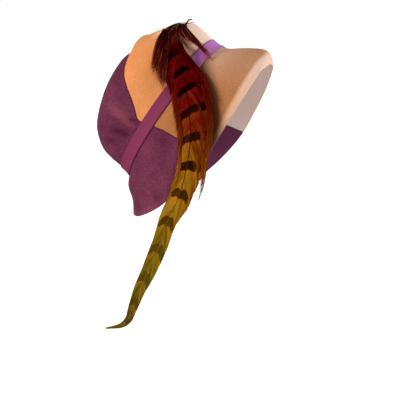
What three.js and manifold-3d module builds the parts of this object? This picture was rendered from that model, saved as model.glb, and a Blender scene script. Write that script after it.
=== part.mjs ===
// A cloche in two colours of wool felt, worn far back on the head, with a ribbon band and
// a plume of barred tail feathers that hangs from the front of the crown.
// Millimetres. +X is the wearer's front, +Y the wearer's left, +Z up. The origin is where
// the head bears inside the top of the crown. The felt and the ribbon are worked out with
// the crown upright, then tipped back as the hat is worn.

import * as THREE from "three";
import Module from "manifold-3d";

const wasm = await Module();
wasm.setup();

// Driving dimensions of the hat, crown upright
const wornTilt = 54.5; // degrees that the hat tips back on the head
const feltThickness = 2.2;
const jointHeight = -6.5; // height of the crown's lower edge, level with the ribbon's
const seamGap = 0.3; // between the two colours, which are sewn edge to edge
const jointGap = 0.45; // between the crown and the brim, under the ribbon

// Ribbon
const ribbonWidth = 15.9;
const ribbonThickness = 0.9;
const ribbonGap = 0.6;

// Facets
const facetsRound = 60;
const crownRings = 13;
const brimRings = 8;
const ribbonRings = 4;

// Oval sections of the crown's outer face, from the joint up to the top of the dome
const crownRows = [
  { z: jointHeight, back: -100.8, front: 102.2, side: 76.6 },
  { z: 2, back: -99.1, front: 100.6, side: 73.7 },
  { z: 14, back: -98.4, front: 101.9, side: 72.6 },
  { z: 28.4, back: -97.4, front: 103.6, side: 73.2 },
  { z: 42.7, back: -94.7, front: 102.5, side: 73.3 },
  { z: 55.7, back: -86.3, front: 93.2, side: 68.9 },
  { z: 67.2, back: -73, front: 76.4, side: 58.3 },
  { z: 77.7, back: -53, front: 61.2, side: 42.7 },
  { z: 83.5, back: -32.6, front: 55.1, side: 28.1 },
  { z: 86.2, back: -9.1, front: 44.7, side: 13.8 },
  { z: 86.8, back: 15.5, front: 15.5, side: 0 },
];

// Oval sections of the brim's outer face. Drop is the share of the way down to the rim.
const brimRows = [
  { drop: 0, back: -100.8, front: 102.2, side: 76.6 },
  { drop: 0.15, back: -112, front: 106.1, side: 83.1 },
  { drop: 0.35, back: -118.4, front: 114.9, side: 86.8 },
  { drop: 0.55, back: -123.1, front: 122.6, side: 89.7 },
  { drop: 0.72, back: -128.3, front: 128.2, side: 92.2 },
  { drop: 0.84, back: -132.8, front: 130.4, side: 94.4 },
  { drop: 0.94, back: -136.6, front: 130.1, side: 96.4 },
  { drop: 1, back: -139, front: 129.2, side: 98 },
];

// Height of the rim at even turns from the front of the hat, past the ear, to the back
const rimRows = [
  { turn: 0, z: -62.5 },
  { turn: 30, z: -66.5 },
  { turn: 60, z: -73.5 },
  { turn: 90, z: -78.5 },
  { turn: 120, z: -68.5 },
  { turn: 150, z: -48.5 },
  { turn: 180, z: -33.5 },
];

// The seam between the two colours, seen from the side, from above the crown to below
// the rim. It is the same on both sides of the head.
const seamRows = [
  { x: 38, z: 110 },
  { x: 34, z: 84 },
  { x: 28, z: 76 },
  { x: 21.5, z: 71 },
  { x: 16.5, z: 64.5 },
  { x: 11.5, z: 52 },
  { x: 3, z: 37.5 },
  { x: -6, z: 25 },
  { x: -14.5, z: 15 },
  { x: -13, z: 8 },
  { x: -7, z: -7 },
  { x: -2, z: -19 },
  { x: 1, z: -33 },
  { x: 6.5, z: -56 },
  { x: 11.5, z: -78 },
  { x: 16, z: -100 },
];

// Soft valleys pressed into the felt of the crown
const seamValley = { depth: 3.8, sideDepth: 0.8, width: 8, from: 45, to: 74 };
// Soft folds at the back of the crown, where a depth below zero stands up
const tuckRows = [
  { x: -42.5, z: 24, depth: 2.8, long: 15, across: 4.2, slant: -72 },
  { x: -23.5, z: 29, depth: -1.5, long: 22, across: 7, slant: -87 },
  { x: -18.5, z: 18, depth: 2.6, long: 8, across: 2.4, slant: -76 },
  { x: -7, z: 43, depth: 1.1, long: 9, across: 5.5, slant: -60 },
  { x: -66, z: 34, depth: 1.6, long: 14, across: 6, slant: -55 },
];

// A point well inside the crown, which the felt faces away from
const heart = new THREE.Vector3(0, 0, 20);

// Where the plume lies on the hat: it starts above the ribbon, right of the front, and
// crosses the ribbon and the brim on its way to the rim. Angles run round from the front,
// and stand is the height of its shaft over the felt.
const plumeOverHat = [
  { on: "crown", share: 0.385, angle: -21, stand: 2.2 },
  { on: "crown", share: 0.345, angle: -30, stand: 3.2 },
  { on: "crown", share: 0.266, angle: -43.5, stand: 5.2 },
  { on: "crown", share: 0.144, angle: -53.5, stand: 7 },
  { on: "brim", share: 0.225, angle: -66.5, stand: 6 },
  { on: "brim", share: 0.354, angle: -73.5, stand: 5.5 },
  { on: "brim", share: 0.476, angle: -79.5, stand: 5 },
  { on: "brim", share: 0.603, angle: -85.5, stand: 5 },
  { on: "brim", share: 0.753, angle: -91.2, stand: 5 },
];

// Where it hangs free below the rim, as worn. Turn is how far its face looks backwards.
const plumeHanging = [
  { x: 105, y: -102, z: -139, turn: 0 },
  { x: 94, y: -100, z: -169, turn: 2 },
  { x: 79, y: -96, z: -210, turn: 4 },
  { x: 62, y: -93, z: -241, turn: 6 },
  { x: 46, y: -91, z: -268, turn: 8 },
  { x: 33, y: -89, z: -299, turn: 10 },
  { x: 28, y: -88, z: -312, turn: 12 },
  { x: 18, y: -87, z: -322, turn: 14 },
  { x: -5, y: -85, z: -330, turn: 16 },
];

// Half the width of the long tail feather at even steps of its length
const tailWidths = [
  { half: 2.5 },
  { half: 12 },
  { half: 16.5 },
  { half: 17 },
  { half: 16.5 },
  { half: 15.5 },
  { half: 14 },
  { half: 12.5 },
  { half: 8 },
  { half: 5.5 },
  { half: 0.6 },
];

// Shorter feathers that lie under it. Shift is to the side, under is how much deeper.
const sideFeathers = [
  { length: 0.5, shift: 9, under: 0.9, half: 12 },
  { length: 0.44, shift: 16, under: 1.7, half: 7 },
  { length: 0.45, shift: -11, under: 0.9, half: 12 },
  { length: 0.36, shift: -17, under: 1.7, half: 7 },
];

const feather = { thickness: 1.3, edge: 0.6, droop: 1.4, ragged: 0.12, step: 15 };

// The knots that the plume and the tuft are bound in. The tuft's lies on the plume.
const knot = { long: 4.5, wide: 4, deep: 1.8 };
const tuftRoot = { share: 0.39, angle: -30.5, stand: 5.4 };

// Cut ends of the quills past the plume's knot, measured from it as worn
const quillEnds = [
  { x: 10, y: -2, z: 8, radius: 0.9 },
  { x: 6, y: 2, z: 9, radius: 0.7 },
];

// Locks of the tuft by where their tips lie on the crown. Lift is how far the middle of
// a lock rises.
const tuftLocks = [
  { share: 0.465, angle: -38, stand: 4, lift: 2, half: 5 },
  { share: 0.43, angle: -46, stand: 4, lift: 5, half: 6 },
  { share: 0.395, angle: -54, stand: 4, lift: 8, half: 6.5 },
  { share: 0.355, angle: -63, stand: 5, lift: 10, half: 6.5 },
  { share: 0.297, angle: -66, stand: 7, lift: 13, half: 6.5 },
  { share: 0.219, angle: -68, stand: 10, lift: 14, half: 6 },
  { share: 0.164, angle: -66, stand: 14, lift: 14, half: 5.5 },
  { share: 0.16, angle: -60, stand: 14, lift: 13, half: 6 },
  { share: 0.157, angle: -53, stand: 14, lift: 11, half: 6 },
  { share: 0.157, angle: -46, stand: 13, lift: 10, half: 4.5 },
  { share: 0.174, angle: -38, stand: 10, lift: 9, half: 2.2 },
  { share: 0.175, angle: -29, stand: 5, lift: 6, half: 2.5 },
  { share: 0.06, angle: -29, stand: 6, lift: 7, half: 2.5 },
  { share: 0, angle: -31, stand: 12, lift: 6, half: 2 },
];

const radians = THREE.MathUtils.degToRad;

// Catmull-Rom through one column of a table, with share running from 0 at the first row
// to 1 at the last.
function column(rows, name, share) {
  const last = rows.length - 1;
  const place = THREE.MathUtils.clamp(share, 0, 1) * last;
  const k = Math.min(Math.floor(place), last - 1);
  const f = place - k;
  const at = (i) => rows[THREE.MathUtils.clamp(i, 0, last)][name];
  const [p0, p1, p2, p3] = [at(k - 1), at(k), at(k + 1), at(k + 2)];
  return (
    p1 +
    0.5 *
      f *
      (p2 - p0 + f * (2 * p0 - 5 * p1 + 4 * p2 - p3 + f * (3 * (p1 - p2) + p3 - p0)))
  );
}

// The share at which a rising or falling column reaches a value
function shareAt(rows, name, value) {
  const rising = column(rows, name, 1) > column(rows, name, 0);
  let [low, high] = [0, 1];
  for (let step = 0; step < 30; step += 1) {
    const middle = (low + high) / 2;
    if (column(rows, name, middle) < value === rising) low = middle;
    else high = middle;
  }
  return (low + high) / 2;
}

function ovalPoint(rows, share, angle, height) {
  const back = column(rows, "back", share);
  const front = column(rows, "front", share);
  const side = column(rows, "side", share);
  const middle = (front + back) / 2;
  const reach = (front - back) / 2;
  return new THREE.Vector3(middle + reach * Math.cos(angle), side * Math.sin(angle), height);
}

function seamDistance(point) {
  let nearest = Infinity;
  const here = new THREE.Vector2(point.x, point.z);
  for (let k = 1; k < seamRows.length; k += 1) {
    const start = new THREE.Vector2(seamRows[k - 1].x, seamRows[k - 1].z);
    const run = new THREE.Vector2(seamRows[k].x, seamRows[k].z).sub(start);
    const along = here.clone().sub(start).dot(run) / run.lengthSq();
    const foot = start.addScaledVector(run, THREE.MathUtils.clamp(along, 0, 1));
    nearest = Math.min(nearest, here.distanceTo(foot));
  }
  return nearest;
}

// How far the crown's felt is pressed in at a point
function crownDent(point) {
  const v = seamValley;
  const high = THREE.MathUtils.smoothstep(point.z, v.from, v.to);
  const depth = v.sideDepth + (v.depth - v.sideDepth) * high;
  let dent = depth * Math.exp(-((seamDistance(point) / v.width) ** 2));
  for (const tuck of tuckRows) {
    const slant = radians(tuck.slant);
    const dx = point.x - tuck.x;
    const dz = point.z - tuck.z;
    const along = (dx * Math.cos(slant) + dz * Math.sin(slant)) / tuck.long;
    const across = (dz * Math.cos(slant) - dx * Math.sin(slant)) / tuck.across;
    dent += tuck.depth * Math.exp(-(along ** 2) - across ** 2);
  }
  return dent * THREE.MathUtils.smoothstep(point.z, 2, 16);
}

function crownPoint(share, angle) {
  const point = ovalPoint(crownRows, share, angle, column(crownRows, "z", share));
  const inward = heart.clone().sub(point).normalize();
  return point.addScaledVector(inward, crownDent(point));
}

// The rim is even on both sides, so its table is read forwards and then backwards
function rimHeight(angle) {
  const turn = Math.acos(Math.cos(angle)) / Math.PI;
  const mirrored = [rimRows[1], ...rimRows, rimRows[rimRows.length - 2]];
  return column(mirrored, "z", (1 + turn * (rimRows.length - 1)) / (mirrored.length - 1));
}

function brimPoint(share, angle) {
  const top = jointHeight - jointGap;
  const height = top + (rimHeight(angle) - top) * column(brimRows, "drop", share);
  return ovalPoint(brimRows, share, angle, height);
}

// The outward normal of a surface that is given by share and angle
function normalOf(surface, share, angle) {
  const step = 1e-3;
  const inner = THREE.MathUtils.clamp(share, step, 1 - 2 * step);
  const round = surface(inner, angle + step).sub(surface(inner, angle - step));
  const up = surface(inner + step, angle).sub(surface(inner - step, angle));
  const normal = round.cross(up).normalize();
  const outward = surface(inner, angle).sub(heart);
  return normal.dot(outward) < 0 ? normal.negate() : normal;
}

// One ring of points that stand off a surface by a distance
function ringOn(surface, share, stand) {
  return Array.from({ length: facetsRound }, (_, j) => {
    const angle = (2 * Math.PI * j) / facetsRound;
    const normal = normalOf(surface, share, angle);
    return surface(share, angle).addScaledVector(normal, stand);
  });
}

// A closed solid whose wall runs through a loop of rings: out along one face and back
// along the other. A tip closes the loop's two ends at the top of a dome.
function solidOfRings(rings, tips = []) {
  const points = [...rings.flat(), ...tips];
  const faces = [];
  const spans = tips.length ? rings.length - 1 : rings.length;
  const index = (i, j) => (i % rings.length) * facetsRound + (j % facetsRound);
  for (let j = 0; j < facetsRound; j += 1) {
    for (let i = 0; i < spans; i += 1) {
      const [a, b] = [index(i, j), index(i, j + 1)];
      const [c, d] = [index(i + 1, j), index(i + 1, j + 1)];
      faces.push([a, b, d], [a, d, c]);
    }
    if (tips.length) {
      const [first, last] = [rings.length * facetsRound, rings.length * facetsRound + 1];
      faces.push([first, index(0, j + 1), index(0, j)]);
      faces.push([last, index(rings.length - 1, j), index(rings.length - 1, j + 1)]);
    }
  }
  return solidOf(points, faces);
}

function solidOf(points, faces) {
  const build = (turned) =>
    new wasm.Manifold(
      new wasm.Mesh({
        numProp: 3,
        vertProperties: new Float32Array(points.flatMap((p) => p.toArray())),
        triVerts: new Uint32Array(faces.flatMap((f) => (turned ? f.toReversed() : f))),
      }),
    );
  const solid = build(false);
  return solid.volume() > 0 ? solid : build(true);
}

function geometryOf(solid) {
  const { vertProperties, triVerts } = solid.getMesh();
  const geometry = new THREE.BufferGeometry();
  geometry.setAttribute("position", new THREE.BufferAttribute(vertProperties, 3));
  geometry.setIndex(new THREE.BufferAttribute(triVerts, 1));
  const flat = geometry.toNonIndexed();
  flat.computeVertexNormals();
  return flat;
}

// Felt wall of the crown: up the outer face to its tip and down the inner face
function crownSolid() {
  const shares = Array.from({ length: crownRings }, (_, i) => i / crownRings);
  const outer = shares.map((share) => ringOn(crownPoint, share, 0));
  const inner = shares.map((share) => ringOn(crownPoint, share, -feltThickness));
  const top = crownPoint(1, 0);
  const under = top.clone().setZ(top.z - feltThickness);
  return solidOfRings([...outer.toReversed(), ...inner], [top, under]);
}

// Felt wall of the brim, a little below the crown's edge, round the rim and back inside
function brimSolid() {
  const shares = Array.from({ length: brimRings }, (_, i) => i / (brimRings - 1));
  const outer = shares.map((share) => ringOn(brimPoint, share, 0));
  const inner = shares.map((share) => ringOn(brimPoint, share, -feltThickness));
  return solidOfRings([...outer, ...inner.toReversed()]);
}

// The ribbon is a band round the foot of the crown
function ribbonSolid() {
  const shares = Array.from({ length: ribbonRings }, (_, i) => {
    const height = jointHeight + (ribbonWidth * i) / (ribbonRings - 1);
    return shareAt(crownRows, "z", height);
  });
  const stand = ribbonGap + ribbonThickness;
  const outer = shares.map((share) => ringOn(crownPoint, share, stand));
  const inner = shares.map((share) => ringOn(crownPoint, share, ribbonGap));
  return solidOfRings([...outer, ...inner.toReversed()]);
}

// A thin upright blade along the seam, which parts the two colours
function seamBlade() {
  const line = new THREE.CatmullRomCurve3(
    seamRows.map((row) => new THREE.Vector3(row.x, row.z, 0)),
  ).getPoints(4 * (seamRows.length - 1));
  const offset = (side) =>
    line.map((p, k) => {
      const run = line[Math.min(k + 1, line.length - 1)].clone().sub(line[Math.max(k - 1, 0)]);
      const across = new THREE.Vector2(-run.y, run.x).setLength((side * seamGap) / 2);
      return new THREE.Vector2(p.x, p.y).add(across);
    });
  const shape = new THREE.Shape([...offset(1), ...offset(-1).toReversed()]);
  const reach = 220;
  const blade = new THREE.ExtrudeGeometry(shape, { depth: reach, bevelEnabled: false });
  blade.translate(0, 0, -reach / 2).rotateX(Math.PI / 2);
  return solidFrom(blade);
}

// The closed geometry of a three.js class as a solid
function solidFrom(geometry) {
  const place = geometry.getAttribute("position");
  const seen = new Map();
  const points = [];
  const corner = (i) => {
    const p = new THREE.Vector3().fromBufferAttribute(place, i);
    const key = p.toArray().map((v) => v.toFixed(4)).join();
    if (!seen.has(key)) {
      seen.set(key, points.length);
      points.push(p);
    }
    return seen.get(key);
  };
  const count = geometry.index ? geometry.index.count : place.count;
  const order = Array.from({ length: count }, (_, i) => (geometry.index ? geometry.index.getX(i) : i));
  const faces = [];
  for (let i = 0; i < count; i += 3) {
    faces.push([corner(order[i]), corner(order[i + 1]), corner(order[i + 2])]);
  }
  return solidOf(points, faces);
}

// The front and the back piece of a felt shell, parted along the seam
function partedAtSeam(shell) {
  const pieces = shell.subtract(seamBlade()).decompose();
  pieces.sort((a, b) => b.volume() - a.volume());
  const [one, other] = pieces;
  const middle = (piece) => (piece.boundingBox().min[0] + piece.boundingBox().max[0]) / 2;
  return middle(one) > middle(other) ? [one, other] : [other, one];
}

// A place over the felt, as worn, with the way the felt faces there
function placeOver(surface, share, degrees, stand, matrix) {
  const out = normalOf(surface, share, radians(degrees));
  const point = surface(share, radians(degrees)).addScaledVector(out, stand);
  return { point: point.applyMatrix4(matrix), out: out.transformDirection(matrix) };
}

// The plume's shaft and the way its face looks, from the head to the tip
function routeOfPlume(matrix) {
  const surfaces = { crown: crownPoint, brim: brimPoint };
  const places = plumeOverHat.map((row) =>
    placeOver(surfaces[row.on], row.share, row.angle, row.stand, matrix),
  );
  for (const row of plumeHanging) {
    const turn = radians(row.turn);
    const out = new THREE.Vector3(-Math.sin(turn), -Math.cos(turn), 0);
    places.push({ point: new THREE.Vector3(row.x, row.y, row.z), out });
  }
  return {
    shaft: new THREE.CatmullRomCurve3(places.map((place) => place.point)),
    outs: new THREE.CatmullRomCurve3(places.map((place) => place.out)),
  };
}

// Point, sideways and outward directions at a share of a route's length
function frameAt(route, share) {
  const along = route.shaft.getUtoTmapping(share);
  const tangent = route.shaft.getTangent(along);
  const out = route.outs.getPoint(along);
  out.addScaledVector(tangent, -out.dot(tangent)).normalize();
  return { point: route.shaft.getPoint(along), out, across: out.clone().cross(tangent) };
}

// A long solid whose sections are loops of the same number of points
function loftSolid(sections) {
  const size = sections[0].length;
  const points = sections.flat();
  const faces = [];
  for (let i = 0; i + 1 < sections.length; i += 1) {
    for (let j = 0; j < size; j += 1) {
      const [a, b] = [i * size + j, i * size + ((j + 1) % size)];
      faces.push([a, b, b + size], [a, b + size, a + size]);
    }
  }
  const last = (sections.length - 1) * size;
  for (let j = 1; j + 1 < size; j += 1) {
    faces.push([0, j + 1, j], [last, last + j, last + j + 1]);
  }
  return solidOf(points, faces);
}

// One feather that follows the route: thick at its shaft, thin and ragged at its edges
function featherSolid(route, length, shift, under, halfAt) {
  const steps = Math.ceil((length * route.shaft.getLength()) / feather.step);
  const sections = [];
  for (let k = 0; k <= steps; k += 1) {
    const share = k / steps;
    const { point, out, across } = frameAt(route, share * length);
    const ragged = k % 2 === 1 ? 1 - feather.ragged : 1;
    const half = halfAt(share) * ragged;
    const fan = shift * THREE.MathUtils.smoothstep(share * length, 0, 0.16);
    const corner = (side, height) => {
      const reach = fan + side * half;
      const droop = feather.droop * (reach / 20) ** 2;
      return point
        .clone()
        .addScaledVector(across, reach)
        .addScaledVector(out, height - under - droop);
    };
    sections.push([
      corner(-1, 0),
      corner(0, -0.2),
      corner(1, 0),
      corner(1, feather.edge),
      corner(0, feather.thickness),
      corner(-1, feather.edge),
    ]);
  }
  return loftSolid(sections);
}

// The rounded knot at the root of the plume or of the tuft
function knotSolid(root, matrix) {
  const { point, out } = placeOver(crownPoint, root.share, root.angle, root.stand, matrix);
  const turn = new THREE.Quaternion().setFromUnitVectors(new THREE.Vector3(0, 0, 1), out);
  const ball = new THREE.SphereGeometry(1, 12, 7).scale(knot.long, knot.wide, knot.deep);
  ball.applyQuaternion(turn).translate(point.x, point.y, point.z);
  return { point, out, solid: solidFrom(ball) };
}

function quillSolid(start, end) {
  const run = new THREE.Vector3(end.x, end.y, end.z);
  const quill = new THREE.CylinderGeometry(end.radius, end.radius, run.length(), 8);
  quill.translate(0, run.length() / 2, 0);
  const up = new THREE.Vector3(0, 1, 0);
  quill.applyQuaternion(new THREE.Quaternion().setFromUnitVectors(up, run.normalize()));
  quill.translate(start.x, start.y, start.z);
  return solidFrom(quill);
}

// Overlapping solids as one body
function fused(pieces) {
  const bodies = wasm.Manifold.union(pieces).decompose();
  return bodies.sort((a, b) => b.volume() - a.volume())[0];
}

// The barred tail feathers and the cut ends of their quills, bound in one knot
function tailSolid(matrix) {
  const route = routeOfPlume(matrix);
  const bound = knotSolid(plumeOverHat[0], matrix);
  const pieces = [bound.solid, ...quillEnds.map((end) => quillSolid(bound.point, end))];
  pieces.push(featherSolid(route, 1, 0, 0, (share) => column(tailWidths, "half", share)));
  for (const row of sideFeathers) {
    const half = (share) => row.half * Math.min(0.15 + 4 * share, 1.02 - share ** 5);
    pieces.push(featherSolid(route, row.length, row.shift, row.under, half));
  }
  return fused(pieces);
}

// One pointed lock of the tuft, flat where it lies over the crown
function lockSolid(root, lock, matrix) {
  const tip = placeOver(crownPoint, lock.share, lock.angle, lock.stand, matrix);
  const out = root.out.clone().add(tip.out).normalize();
  const middle = root.point.clone().lerp(tip.point, 0.5).addScaledVector(out, lock.lift);
  const curve = new THREE.QuadraticBezierCurve3(root.point, middle, tip.point);
  const steps = 5;
  const sections = [];
  for (let k = 0; k <= steps; k += 1) {
    const share = k / steps;
    const point = curve.getPoint(share);
    const tangent = curve.getTangent(share);
    const across = out.clone().cross(tangent).normalize();
    const up = tangent.cross(across);
    const half = lock.half * Math.min(0.4 + 2 * share, 1.06 - share ** 3);
    const thick = 1.1 - 0.8 * share;
    sections.push([
      point.clone().addScaledVector(across, -half),
      point.clone().addScaledVector(up, -thick),
      point.clone().addScaledVector(across, half),
      point.clone().addScaledVector(up, thick),
    ]);
  }
  return loftSolid(sections);
}

// The soft tuft that covers the top of the plume: a fan of locks from a knot of its own
function tuftSolid(matrix) {
  const bound = knotSolid(tuftRoot, matrix);
  return fused([bound.solid, ...tuftLocks.map((lock) => lockSolid(bound, lock, matrix))]);
}

function mesh(name, solid, color, roughness) {
  const material = new THREE.MeshStandardMaterial({ color, roughness, metalness: 0 });
  const made = new THREE.Mesh(geometryOf(solid), material);
  made.name = name;
  return made;
}

const peach = 0xe9a06a;
const purple = 0x6f3350;
const ribbonPurple = 0x86396a;
const tailBrown = 0x8a5a14;
const tuftRed = 0x5a0a0e;

const [crownFront, crownBack] = partedAtSeam(crownSolid());
const [brimFront, brimBack] = partedAtSeam(brimSolid());

// Felt and ribbon, tipped back, with the bearing point of the head at the origin
const bearing = crownPoint(1, 0);
bearing.z -= feltThickness;
const hat = new THREE.Group();
hat.rotation.y = -radians(wornTilt);
hat.position.copy(bearing.clone().applyEuler(hat.rotation).negate());
hat.updateMatrix();
hat.add(mesh("crown_front", crownFront, peach, 0.95));
hat.add(mesh("crown_back", crownBack, purple, 0.95));
hat.add(mesh("brim_front", brimFront, peach, 0.95));
hat.add(mesh("brim_back", brimBack, purple, 0.95));
hat.add(mesh("ribbon_band", ribbonSolid(), ribbonPurple, 0.7));

const part = new THREE.Group();
part.add(hat);
part.add(mesh("tail_plume", tailSolid(hat.matrix), tailBrown, 0.6));
part.add(mesh("hackle_tuft", tuftSolid(hat.matrix), tuftRed, 0.6));

export default part;
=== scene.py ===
# A cloche in two colours of wool felt with a ribbon band and a plume of barred tail
# feathers, as it is worn: tipped far back, front of the hat up.
# The felt and the ribbon are worked out in millimetres with the crown upright (x to the
# front, y to the wearer's left, z up the crown), then tipped back and turned to metres.
import math

import bmesh
import bpy
import numpy as np
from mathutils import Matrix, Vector


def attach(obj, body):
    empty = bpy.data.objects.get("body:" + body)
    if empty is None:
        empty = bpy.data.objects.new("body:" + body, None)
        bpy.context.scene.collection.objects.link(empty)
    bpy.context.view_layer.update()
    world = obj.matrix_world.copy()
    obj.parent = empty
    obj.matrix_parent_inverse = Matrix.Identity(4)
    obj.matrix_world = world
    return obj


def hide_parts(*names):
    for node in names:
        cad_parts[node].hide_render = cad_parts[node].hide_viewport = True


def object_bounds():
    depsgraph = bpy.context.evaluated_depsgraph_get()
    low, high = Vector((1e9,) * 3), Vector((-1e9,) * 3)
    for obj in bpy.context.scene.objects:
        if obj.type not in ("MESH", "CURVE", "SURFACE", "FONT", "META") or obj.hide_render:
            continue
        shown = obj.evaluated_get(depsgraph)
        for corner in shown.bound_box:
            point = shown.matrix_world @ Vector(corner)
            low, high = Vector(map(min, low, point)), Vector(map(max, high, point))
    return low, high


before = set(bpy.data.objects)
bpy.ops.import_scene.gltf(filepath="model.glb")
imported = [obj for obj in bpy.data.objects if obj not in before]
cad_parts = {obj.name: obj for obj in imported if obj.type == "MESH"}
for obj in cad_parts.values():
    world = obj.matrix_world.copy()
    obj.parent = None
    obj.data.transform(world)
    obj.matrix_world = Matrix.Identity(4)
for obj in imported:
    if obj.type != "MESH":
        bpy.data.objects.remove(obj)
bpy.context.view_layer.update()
dice = np.random.default_rng(41)
print("frame loaded with", len(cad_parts), "nodes")


# Rows of a table, each a dictionary with the names over the columns
def table(names, *rows):
    return [dict(zip(names.split(), row)) for row in rows]


def linked(name, data):
    made = bpy.data.objects.new(name, data)
    bpy.context.scene.collection.objects.link(made)
    return made


# A camera or a lamp that looks one way
def aimed(name, data, place, way):
    made = linked(name, data)
    made.location = place
    made.rotation_mode = "QUATERNION"
    made.rotation_quaternion = Vector(way).to_track_quat("-Z", "Y")
    return made


# Camera at the height and side that the hat is seen from
camera = {
    "place": (0.3210, -0.8123, 0.0299),
    "looks": (-0.25964, 0.93621, -0.23684),
    "sensor": 36,
    "halfWidth": 200 / 669,  # half the picture's width over the focal length, in pixels
    "near": 0.05,
    "far": 60,
}


def addCamera():
    lens = bpy.data.cameras.new("camera")
    lens.sensor_width = camera["sensor"]
    lens.lens = camera["sensor"] / 2 / camera["halfWidth"]
    lens.clip_start = camera["near"]
    lens.clip_end = camera["far"]
    bpy.context.scene.camera = aimed("camera", lens, camera["place"], camera["looks"])


addCamera()
print("camera placed")


# Colours are given as they look on a screen, 0 to 255, and turned to light
def paint(red, green, blue):
    def light(value):
        value = value / 255
        return value / 12.92 if value <= 0.04045 else ((value + 0.055) / 1.055) ** 2.4

    return (light(red), light(green), light(blue), 1.0)


# Stops of a ramp: each a place and the colour there
def stops(*rows):
    return [(place, paint(*colour)) for place, *colour in rows]


# One socket of a finish. Sums, differences and products of taps add Math nodes.
class Tap:
    def __init__(self, finish, socket):
        self.finish = finish
        self.socket = socket

    def __add__(self, other):
        return self.finish.maths("ADD", self, other)

    def __radd__(self, other):
        return self.finish.maths("ADD", other, self)

    def __sub__(self, other):
        return self.finish.maths("SUBTRACT", self, other)

    def __rsub__(self, other):
        return self.finish.maths("SUBTRACT", other, self)

    def __mul__(self, other):
        return self.finish.maths("MULTIPLY", self, other)

    def __rmul__(self, other):
        return self.finish.maths("MULTIPLY", other, self)


# A material whose nodes are added one after the other
class Finish:
    def __init__(self, name):
        self.material = bpy.data.materials.new(name)
        self.material.use_nodes = True
        self.tree = self.material.node_tree
        self.tree.nodes.clear()
        self.shader = self.tree.nodes.new("ShaderNodeBsdfPrincipled")
        output = self.tree.nodes.new("ShaderNodeOutputMaterial")
        self.tree.links.new(self.shader.outputs[0], output.inputs[0])

    # Any node: settings and ramp stops first, then values or links
    def node(self, kind, settings=None, values=None, output=0):
        made = self.tree.nodes.new(kind)
        for name, value in (settings or {}).items():
            if name == "stops":
                ramp = made.color_ramp.elements
                while len(ramp) < len(value):
                    ramp.new(0.5)
                for element, (position, colour) in zip(ramp, value):
                    element.position = position
                    element.color = colour
            else:
                setattr(made, name, value)
        for name, value in (values or {}).items():
            self.feed(made.inputs[name], value)
        return Tap(self, made.outputs[output])

    def feed(self, socket, value):
        if isinstance(value, Tap):
            self.tree.links.new(value.socket, socket)
        else:
            socket.default_value = value

    def maths(self, operation, *values):
        return self.node("ShaderNodeMath", {"operation": operation}, dict(enumerate(values)))

    def set(self, **values):
        for name, value in values.items():
            self.feed(self.shader.inputs[name.replace("_", " ")], value)

    def place(self):
        return self.node("ShaderNodeTexCoord", output="Object")

    def stretched(self, scale):
        return self.node("ShaderNodeMapping", values={"Vector": self.place(), "Scale": scale})

    def noise(self, place, scale, detail=4.0, roughness=0.55):
        values = {"Vector": place, "Scale": scale, "Detail": detail, "Roughness": roughness}
        return self.node("ShaderNodeTexNoise", values=values, output="Fac")

    def reading(self, name):
        return self.node("ShaderNodeAttribute", {"attribute_name": name}, output="Fac")

    # 0 below low, 1 above high, smooth between
    def step(self, value, low, high):
        values = {"Value": value, "From Min": low, "From Max": high}
        return self.node("ShaderNodeMapRange", {"interpolation_type": "SMOOTHSTEP"}, values)

    def ramp(self, factor, colours):
        return self.node("ShaderNodeValToRGB", {"stops": colours}, {0: factor})

    def mix(self, factor, one, other):
        values = {0: factor, 6: one, 7: other}
        return self.node("ShaderNodeMix", {"data_type": "RGBA"}, values, output=2)

    def bump(self, height, distance, strength):
        values = {"Height": height, "Distance": distance, "Strength": strength}
        return self.node("ShaderNodeBump", values=values)


# Catmull-Rom through one column of a table, share 0 at the first row and 1 at the last
def column(rows, name, share):
    values = np.array([row[name] for row in rows], float)
    last = len(values) - 1
    place = np.clip(share, 0, 1) * last
    k = np.minimum(np.floor(place).astype(int), last - 1)
    f = place - k
    p0 = values[np.clip(k - 1, 0, last)]
    p1 = values[k]
    p2 = values[k + 1]
    p3 = values[np.clip(k + 2, 0, last)]
    bend = 2 * p0 - 5 * p1 + 4 * p2 - p3 + f * (3 * (p1 - p2) + p3 - p0)
    return p1 + 0.5 * f * (p2 - p0 + f * bend)


def smoothstep(value, low, high):
    f = np.clip((np.asarray(value, float) - low) / (high - low), 0, 1)
    return f * f * (3 - 2 * f)


def unit(vectors):
    return vectors / np.maximum(np.linalg.norm(vectors, axis=-1, keepdims=True), 1e-12)


# Form of the felt, from the same tables as the solids, which keep wider gaps at the joints
hat = {
    "tilt": 54.5,
    "thickness": 2.2,
    "jointHeight": -6.5,
    "jointGap": 0.02,
    "dentsFrom": 2,
    "dentsFull": 16,
    "heart": (0, 0, 20),
    "bearing": (15.5, 0, 84.6),
}
crownRows = table(
    "z back front side",
    (-6.5, -100.8, 102.2, 76.6),
    (2, -99.1, 100.6, 73.7),
    (14, -98.4, 101.9, 72.6),
    (28.4, -97.4, 103.6, 73.2),
    (42.7, -94.7, 102.5, 73.3),
    (55.7, -86.3, 93.2, 68.9),
    (67.2, -73, 76.4, 58.3),
    (77.7, -53, 61.2, 42.7),
    (83.5, -32.6, 55.1, 28.1),
    (86.2, -9.1, 44.7, 13.8),
    (86.8, 15.5, 15.5, 0),
)
brimRows = table(
    "drop back front side",
    (0, -100.8, 102.2, 76.6),
    (0.15, -112, 106.1, 83.1),
    (0.35, -118.4, 114.9, 86.8),
    (0.55, -123.1, 122.6, 89.7),
    (0.72, -128.3, 128.2, 92.2),
    (0.84, -132.8, 130.4, 94.4),
    (0.94, -136.6, 130.1, 96.4),
    (1, -139, 129.2, 98),
)
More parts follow.
